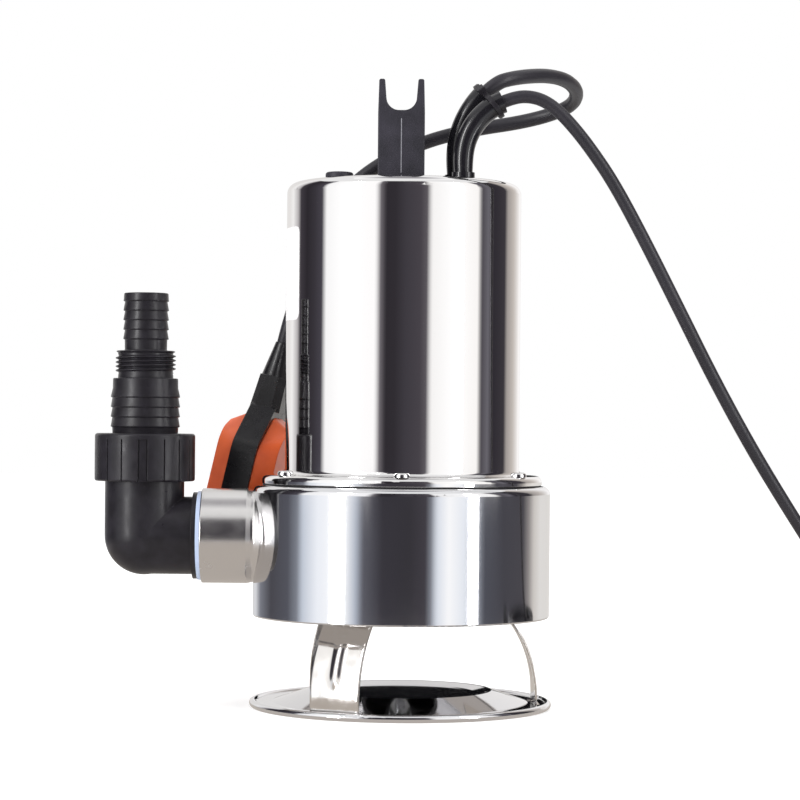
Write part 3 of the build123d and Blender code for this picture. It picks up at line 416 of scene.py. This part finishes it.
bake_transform(floatLeadPiece)


def meshPiece(name, bm, material, body, smoothAngle=35.0):
    bmesh.ops.recalc_face_normals(bm, faces=bm.faces)
    mesh = bpy.data.meshes.new(name)
    bm.to_mesh(mesh)
    bm.free()
    mesh.materials.append(material)
    for polygon in mesh.polygons:
        polygon.use_smooth = True
    mesh.set_sharp_from_angle(angle=math.radians(smoothAngle))
    piece = bpy.data.objects.new(name, mesh)
    bpy.context.scene.collection.objects.link(piece)
    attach(piece, body)
    return piece


def bridgeRings(bm, rings, closed):    # faces between rings of vertices that are themselves closed loops
    pairs = zip(rings, rings[1:] + rings[:1]) if closed else zip(rings, rings[1:])
    for near, far in pairs:
        for i in range(len(near)):
            k = (i + 1) % len(near)
            bm.faces.new((near[i], near[k], far[k], far[i]))
    if not closed:
        bm.faces.new(rings[0])
        bm.faces.new(rings[-1])


coilTie = {
    "angle": 60.0, "width": 20.0, "thickness": 1.2, "halfWidth": 18.7, "halfHeight": 16.4, "square": 0.36,
    "floorGap": 0.3, "steps": 32,
}


def buildCoilTie():    # hook-and-loop strap round the coil's section
    c = coilTie
    turn = math.radians(c["angle"])
    out = Vector((math.cos(turn), math.sin(turn), 0))
    along = Vector((-math.sin(turn), math.cos(turn), 0))
    base = Vector((*powerCord["coilCentre"], 0)) + out * powerCord["coilRadius"]
    centre = base + Vector((0, 0, c["halfHeight"] + c["thickness"] + c["floorGap"]))
    bm = bmesh.new()
    rings = []
    for i in range(c["steps"]):
        angle = 2 * math.pi * i / c["steps"]
        u = math.copysign(abs(math.cos(angle)) ** c["square"], math.cos(angle))
        v = math.copysign(abs(math.sin(angle)) ** c["square"], math.sin(angle))
        ring = []
        for grow, side in ((0, -1), (c["thickness"], -1), (c["thickness"], 1), (0, 1)):
            rise = Vector((0, 0, v * (c["halfHeight"] + grow)))
            spot = centre + out * u * (c["halfWidth"] + grow) + rise + along * side * c["width"] / 2
            ring.append(bm.verts.new(spot * mm))
        rings.append(ring)
    bridgeRings(bm, rings, True)
    return meshPiece("coilTie", bm, materials["rubber"], "pump")


coilTiePiece = buildCoilTie()
print("cords done")


legs = {
    "places": {"leg_right": ("LegRightStrip", 2), "leg_rear": ("LegRearStrip", 122),
               "leg_front": ("LegFrontStrip", 242)},
    "sheet": 1.2, "width": 29.5, "outer": 74.6, "bend": 65.2, "bendHeight": 8.0, "top": 51.0,
    "tab": 12.0, "tabStops": (6.0, 1.2),    # extra points that keep the tab flat up to the bend
    "foot": 13.0, "footLow": 0.8, "corner": 1.6, "edge": 0.3,
    "ribWidth": 9.0, "ribHeight": 1.1, "ribSpan": (5.0, 36.0), "ribFade": 9.0,
    "arcSteps": 40, "cornerTurns": (0, 22, 45, 68, 90), "columns": 36,
}


def legLine():    # outer face of the strip from the tab's end down to the foot's end: (x, z, rib share)
    c = legs
    middle = c["outer"] - c["bend"]
    rise = c["top"] - c["bendHeight"]
    shoulder = middle + math.sqrt(c["bend"] ** 2 - rise ** 2)
    last = math.degrees(math.asin(rise / c["bend"]))
    low, high = c["ribSpan"]
    points = [(shoulder - back, c["top"], 0.0) for back in (c["tab"], *c["tabStops"])]
    for i in range(1, c["arcSteps"]):
        angle = last * (1 - i / c["arcSteps"])
        fade = min(1.0, max(0.0, (angle - low) / c["ribFade"]), max(0.0, (high - angle) / c["ribFade"]))
        share = fade * fade * (3 - 2 * fade)
        turn = math.radians(angle)
        x = middle + c["bend"] * math.cos(turn)
        points.append((x, c["bendHeight"] + c["bend"] * math.sin(turn), share))
    points.append((c["outer"], c["bendHeight"], 0.0))
    points.append((c["outer"], c["footLow"] + c["corner"] * 2, 0.0))
    for angle in c["cornerTurns"]:
        turn = math.radians(angle)
        x = c["outer"] - c["corner"] * (1 - math.cos(turn))
        points.append((x, c["footLow"] + c["corner"] * (1 - math.sin(turn)), 0.0))
    points.append((c["outer"] - c["foot"], c["footLow"], 0.0))
    return points


def buildLeg(node, name, angle):    # bent strip with a soft rib pressed out along its shank
    c = legs
    line = legLine()
    spots = [Vector((x, 0, z)) for x, z, _ in line]
    turn = math.radians(angle)
    across = Vector((-math.sin(turn), math.cos(turn), 0))
    bm = bmesh.new()
    rings = []
    for i, spot in enumerate(spots):
        ahead = spots[min(i + 1, len(spots) - 1)] - spots[max(i - 1, 0)]
        outward = Vector((-ahead.z, 0, ahead.x)).normalized()
        faces = []
        for depth in (0, c["sheet"]):
            row = []
            for k in range(c["columns"] + 1):
                y = c["width"] * (k / c["columns"] - 0.5)
                crown = 0.5 + 0.5 * math.cos(math.pi * min(1.0, abs(y) / (c["ribWidth"] / 2)))
                bulge = c["ribHeight"] * line[i][2] * crown
                near = c["width"] / 2 - abs(y)
                ease = c["edge"] * max(0.0, 1 - near / c["edge"]) if depth == 0 else 0.0
                p = spot + outward * (bulge - depth - ease)
                row.append(Vector((p.x * math.cos(turn), p.x * math.sin(turn), p.z)) + across * y)
            faces.append(row)
        rings.append([bm.verts.new(corner * mm) for corner in faces[0] + faces[1][::-1]])
    bridgeRings(bm, rings, False)
    piece = meshPiece(name, bm, materials["strip"], "pump")
    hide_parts(node)


for node, (name, angle) in legs["places"].items():
    buildLeg(node, name, angle)
print("legs done")


adapter = {
    "axisX": -142.0, "top": 226.9, "segments": 96,
    "bore": 9.6, "wideBore": 14.5, "boreCone": (-3.9, 4.1),    # the bore narrows between these, by the thread
    "flange": 23.3, "flangeLow": 143.0, "flangeHigh": 146.5,
    "shoulder": 17.9, "shoulderTop": 179.9, "shoulderTaper": (0.1, 5.5), "neck": 15.2, "waist": 11.4,
    "fillet": 0.3, "chamfer": 0.4, "lip": 0.2,
    "tip": ((0.8, 0.0), (0.35, 0.25), (0.25, 0.7)),    # in from the top barb, down from the top
    # lowest edge, number of barbs, step and crest radius of each size of hose
    "upperBarbs": (201.4, 5, 5.25, 12.5), "lowerBarbs": (153.1, 4, 5.43, 19.0),
    "barbCone": ((0.12, 1.1), (0.0, 0.55)),    # in from the crest, up from the edge
    "barbRound": 0.22, "barbCorner": 0.3,
    "barbFoot": ((0.64, 0.12), (0.8, 0.4)),    # in from the crest, down from the edge
    "thread": (181.9, 194.6), "pitch": 2.309, "crest": 16.5, "root": 15.0, "runOut": 0.9,
    "waistFoot": ((0.2, 1.2), (0.6, 0.5)),    # out from the waist, up from the thread
    "threadRim": ((0.9, 0.5), (0.5, 0.3), (0.3, 0.0)),    # in from the crest, up from the thread
    "ridgeStart": 1.0, "ridgeEnd": 1.2, "ridgeFade": 20, "ridgeLeast": 0.05,
    "ridgeFoot": (0.4, 1.05), "ridgeFlank": (0.12, 0.34), "ridgeLand": 0.22,
}


def barbProfile(low, count, step, crest):    # from the top down: each ring widens, rounds over and steps in
    c = adapter
    r = c["barbRound"]
    corner = c["barbCorner"] * r
    points = []
    for i in reversed(range(count)):
        edge = low + step * i
        points += [(crest - inward, edge + up) for inward, up in c["barbCone"]]
        points += [(crest, edge + r), (crest - corner, edge + corner), (crest - r, edge)]
        points += [(crest - inward, edge - down) for inward, down in c["barbFoot"]]
    return points


def adapterProfile():    # outside from the top down, then the bore: (radius, height)
    c = adapter
    low, high = c["thread"]
    tip = c["upperBarbs"][3]
    neck, shoulder, shoulderTop = c["neck"], c["shoulder"], c["shoulderTop"]
    fillet, chamfer = c["fillet"], c["chamfer"]
    narrow, drop = c["shoulderTaper"]
    profile = [(c["bore"], c["top"])] + [(tip - inward, c["top"] - down) for inward, down in c["tip"]]
    profile += barbProfile(*c["upperBarbs"])
    profile += [(c["waist"] + out, high + up) for out, up in c["waistFoot"]]
    profile += [(c["crest"] - inward, high + up) for inward, up in c["threadRim"]]
    profile += [(c["root"], high - c["runOut"]), (c["root"], low + c["lip"])]
    profile += [(neck, low - fillet), (neck, shoulderTop + c["lip"]), (neck + fillet, shoulderTop)]
    profile += [(shoulder - chamfer, shoulderTop), (shoulder, shoulderTop - chamfer)]
    profile += [(shoulder + narrow, shoulderTop - drop)]
    profile += barbProfile(*c["lowerBarbs"])
    profile += [(shoulder, c["flangeHigh"] + fillet), (shoulder + fillet, c["flangeHigh"])]
    profile += [(c["flange"], c["flangeHigh"]), (c["flange"], c["flangeLow"])]
    profile += [(c["wideBore"], c["flangeLow"]), (c["wideBore"], low + c["boreCone"][0])]
    profile += [(c["bore"], low + c["boreCone"][1])]
    return profile


def ringAt(bm, turn, section):    # a section of (radius, height) points, turned about the adapter's axis
    x, y = math.cos(turn), math.sin(turn)
    return [bm.verts.new(((adapter["axisX"] + r * x) * mm, r * y * mm, z * mm)) for r, z in section]


def threadRidge(bm):    # the thread's crest, which winds up the root and fades out at both ends
    c = adapter
    low, high = c["thread"]
    steps = int((high - low - c["ridgeStart"] - c["ridgeEnd"]) / c["pitch"] * c["segments"])
    foot, halfFoot = c["ridgeFoot"]
    drop, halfFlank = c["ridgeFlank"]
    land = c["ridgeLand"]
    ridge = []
    for i in range(steps + 1):
        fade = min(1.0, i / c["ridgeFade"], (steps - i) / c["ridgeFade"])
        height = c["ridgeLeast"] + (c["crest"] - c["root"]) * fade
        section = [(-foot, -halfFoot), (height - drop, -halfFlank), (height, -land), (height, land)]
        section += [(height - drop, halfFlank), (-foot, halfFoot)]
        middle = low + c["ridgeStart"] + c["pitch"] * i / c["segments"]
        outline = [(c["root"] + out, middle + side) for out, side in section]
        ridge.append(ringAt(bm, 2 * math.pi * i / c["segments"], outline))
    bridgeRings(bm, ridge, False)


def buildAdapter():    # hose tail in two sizes, with the pipe thread between them cut as a real helix
    bm = bmesh.new()
    profile = adapterProfile()
    count = adapter["segments"]
    bridgeRings(bm, [ringAt(bm, 2 * math.pi * i / count, profile) for i in range(count)], True)
    threadRidge(bm)
    piece = meshPiece("hoseAdapterMoulding", bm, materials["fitting"], "adapter", 28.0)
    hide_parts("hose_adapter")


buildAdapter()
print("hose adapter done")


studio = {
    "height": 0.157, "distance": 1.44, "lens": 117.3, "roll": -0.5, "sideStep": -0.0013, "shiftY": 0.0275,
    "wallRadius": 2.5, "wallSplit": 0.07, "wallLow": -0.7, "wallHigh": 2.6, "wallStep": 2, "wallGlow": 1.3,
    "worldStrength": 1.0, "floorHalf": 6.0, "floorGlow": 0.16, "lampAim": (0, 0, 0.15), "discSteps": 48,
}
# what the polished shells mirror, by angle seen from the pump: 0 is the front, positive to the right
upperTones = [
    (-180, "#CFCDCC"), (-150, "#DAD8D6"), (-138, "#E9E8E7"), (-126, "#B5B2B3"), (-120, "#3E3A40"),
    (-108, "#2B282D"), (-96, "#37343A"), (-86, "#45424A"), (-80, "#F4F4F4"), (-60, "#FFFFFF"),
    (-27, "#FBFAFA"), (-22, "#6A666B"), (-17, "#2E2B30"), (-8, "#302D32"), (2, "#3D3A40"), (16, "#464248"),
    (22, "#5A565B"), (27, "#F2F1F0"), (50, "#FFFFFF"), (76, "#F6F4F2"), (81, "#4A474D"), (90, "#66646B"),
    (97, "#2E2B31"), (116, "#3A373C"), (122, "#9E9894"), (136, "#BDB6B0"), (148, "#DAD6D3"),
    (158, "#EDEBEA"), (180, "#CFCDCC"),
]
lowerTones = [
    (-180, "#C4C2C0"), (-150, "#CFD0D3"), (-138, "#7A7C84"), (-118, "#4A494F"), (-96, "#55565E"),
    (-86, "#7F838C"), (-80, "#C6CDD8"), (-66, "#F2F5FA"), (-44, "#FFFFFF"), (-35, "#B9C0CC"),
    (-29, "#5A5A62"), (-14, "#3A383E"), (6, "#37353A"), (18, "#423F45"), (22, "#7E8189"), (27, "#DFE4EC"),
    (36, "#FFFFFF"), (48, "#E9EDF3"),
    (56, "#9A9EA8"), (66, "#4F5058"), (84, "#46454B"), (106, "#4B494E"), (114, "#8F8A88"), (122, "#CDC8C2"),
    (134, "#DEDBD7"), (160, "#D2CFCB"), (180, "#C4C2C0"),
]


def toneAt(tones, angle):    # straight blend between the two tones beside the angle
    for (a, first), (b, second) in zip(tones, tones[1:]):
        if a <= angle <= b:
            share = (angle - a) / (b - a)
            return [x + (y - x) * share for x, y in zip(toLinear(first), toLinear(second))]
    return toLinear(tones[-1][1])


def glowMaterial(name):    # emission from the mesh's own colours
    material = bpy.data.materials.new(name)
    material.use_nodes = True
    tree = material.node_tree
    tree.nodes.clear()
    color = addNode(tree, "ShaderNodeVertexColor", {"layer_name": "tone"})
    strength = {"Strength": studio["wallGlow"]}
    glow = addNode(tree, "ShaderNodeEmission", strength, {"Color": color.outputs["Color"]})
    addNode(tree, "ShaderNodeOutputMaterial", links={"Surface": glow.outputs["Emission"]})
    return material


def mirrorOnly(name, corners, faces, tones):    # a stage piece that only polished surfaces see
    mesh = bpy.data.meshes.new(name)
    mesh.from_pydata(corners, [], faces)
    layer = mesh.color_attributes.new("tone", "FLOAT_COLOR", "POINT")
    for spot, tone in zip(layer.data, tones):
        spot.color = tone
    mesh.materials.append(glowMaterial(name + "Glow"))
    card = bpy.data.objects.new(name, mesh)
    bpy.context.scene.collection.objects.link(card)
    card.visible_camera = False
    card.visible_diffuse = False
    card.visible_shadow = False
    card.visible_transmission = False


def surround(name, tones, low, high):    # round wall from one height to another
    radius = studio["wallRadius"]
    count = 360 // studio["wallStep"]
    corners = []
    colors = []
    for i in range(count + 1):
        angle = -180 + studio["wallStep"] * i
        turn = math.radians(angle)
        for z in (low, high):
            corners.append((radius * math.sin(turn), -radius * math.cos(turn), z))
            colors.append(toneAt(tones, angle))
    faces = [(2 * i, 2 * i + 2, 2 * i + 3, 2 * i + 1) for i in range(count)]
    mirrorOnly(name, corners, faces, colors)


dishCard = {
    "left": -0.05, "right": 0.14, "soft": 0.05, "y": 0.95, "low": 0.03, "high": 0.22, "tone": "#0B0B0D",
}


def buildDishCard():    # dark patch behind the pump that the dished foot plate mirrors
    c = dishCard
    white, dark = toLinear("#FFFFFF"), toLinear(c["tone"])
    columns = [(c["left"] - c["soft"], white), (c["left"], dark)]
    columns += [(c["right"], dark), (c["right"] + c["soft"] / 3, white)]
    corners = [(x, c["y"], z) for x, _ in columns for z in (c["low"], c["high"])]
    faces = [(2 * i, 2 * i + 2, 2 * i + 3, 2 * i + 1) for i in range(len(columns) - 1)]
    mirrorOnly("dishCard", corners, faces, [tone for _, tone in columns for _ in range(2)])


groundDisc = {"radius": 0.58, "soft": 0.12, "tone": "#B4ADA6", "edge": "#FFFFFF", "height": -0.002}
skyDisc = {"radius": 0.7, "soft": 0.5, "tone": "#8F8D91", "edge": "#FFFFFF", "height": 1.7}


def mirrorDisc(name, look):    # round patch under or over the pump, toned from its middle to its edge
    middle, edge = toLinear(look["tone"]), toLinear(look["edge"])
    count = studio["discSteps"]
    corners = [(0, 0, look["height"])]
    colors = [middle]
    for radius, tone in ((look["radius"] - look["soft"], middle), (look["radius"], edge)):
        for i in range(count):
            turn = 2 * math.pi * i / count
            corners.append((radius * math.cos(turn), radius * math.sin(turn), look["height"]))
            colors.append(tone)
    faces = [(0, 1 + i, 1 + (i + 1) % count) for i in range(count)]
    for i in range(count):
        k = (i + 1) % count
        faces.append((1 + i, 1 + count + i, 1 + count + k, 1 + k))
    mirrorOnly(name, corners, faces, colors)


def buildFloor():    # matt white paper, glowing a little so that it stays white under the soft lamps
    half = studio["floorHalf"]
    corners = [(-half, -half, 0), (half, -half, 0), (half, half, 0), (-half, half, 0)]
    mesh = bpy.data.meshes.new("studioFloor")
    mesh.from_pydata(corners, [], [(0, 1, 2, 3)])
    settings = {"Specular IOR Level": 0.0, "Emission Strength": studio["floorGlow"]}
    settings["Emission Color"] = toLinear("#FFFFFF")
    mesh.materials.append(newMaterial("paperSweep", "#F7F7F7", 0.0, 0.95, settings)[0])
    floor = bpy.data.objects.new("studioFloor", mesh)
    bpy.context.scene.collection.objects.link(floor)
    floor.visible_glossy = False    # the shells mirror the surround down to their lower edges


# name, place, width, height, power, seen in reflections
lamps = [
    ("softLeft", (-1.55, -1.35, 0.55), 0.4, 2.2, 40, True),
    ("softRight", (1.75, -1.2, 0.55), 0.3, 2.2, 20, True),
    ("softTop", (0.1, 0.2, 2.4), 1.6, 1.6, 18, False),
]


def buildLight():
    world = bpy.data.worlds.new("studioWorld")
    bpy.context.scene.world = world
    world.use_nodes = True
    background = world.node_tree.nodes["Background"]
    background.inputs["Color"].default_value = (1, 1, 1, 1)
    background.inputs["Strength"].default_value = studio["worldStrength"]
    for name, place, width, height, power, mirrored in lamps:
        light = bpy.data.lights.new(name, "AREA")
        light.shape = "RECTANGLE"
        light.size = width
        light.size_y = height
        light.energy = power
        lamp = bpy.data.objects.new(name, light)
        bpy.context.scene.collection.objects.link(lamp)
        lamp.location = place
        aim = Vector(studio["lampAim"]) - Vector(place)
        lamp.rotation_euler = aim.to_track_quat("-Z", "Y").to_euler()
        lamp.visible_glossy = mirrored


def buildCamera():
    c = studio
    data = bpy.data.cameras.new("studioCamera")
    data.lens = c["lens"]
    data.sensor_width = 36
    data.shift_y = c["shiftY"]
    data.clip_end = 50
    camera = bpy.data.objects.new("studioCamera", data)
    bpy.context.scene.collection.objects.link(camera)
    camera.location = (c["sideStep"], -c["distance"], c["height"])
    camera.rotation_euler = (math.pi / 2, math.radians(c["roll"]), 0)
    bpy.context.scene.camera = camera


buildFloor()
surround("surroundHigh", upperTones, studio["wallSplit"], studio["wallHigh"])
surround("surroundLow", lowerTones, studio["wallLow"], studio["wallSplit"])
buildDishCard()
mirrorDisc("groundDisc", groundDisc)
mirrorDisc("skyDisc", skyDisc)
buildLight()
buildCamera()
bpy.context.scene.view_settings.view_transform = "Standard"
print("stage done")
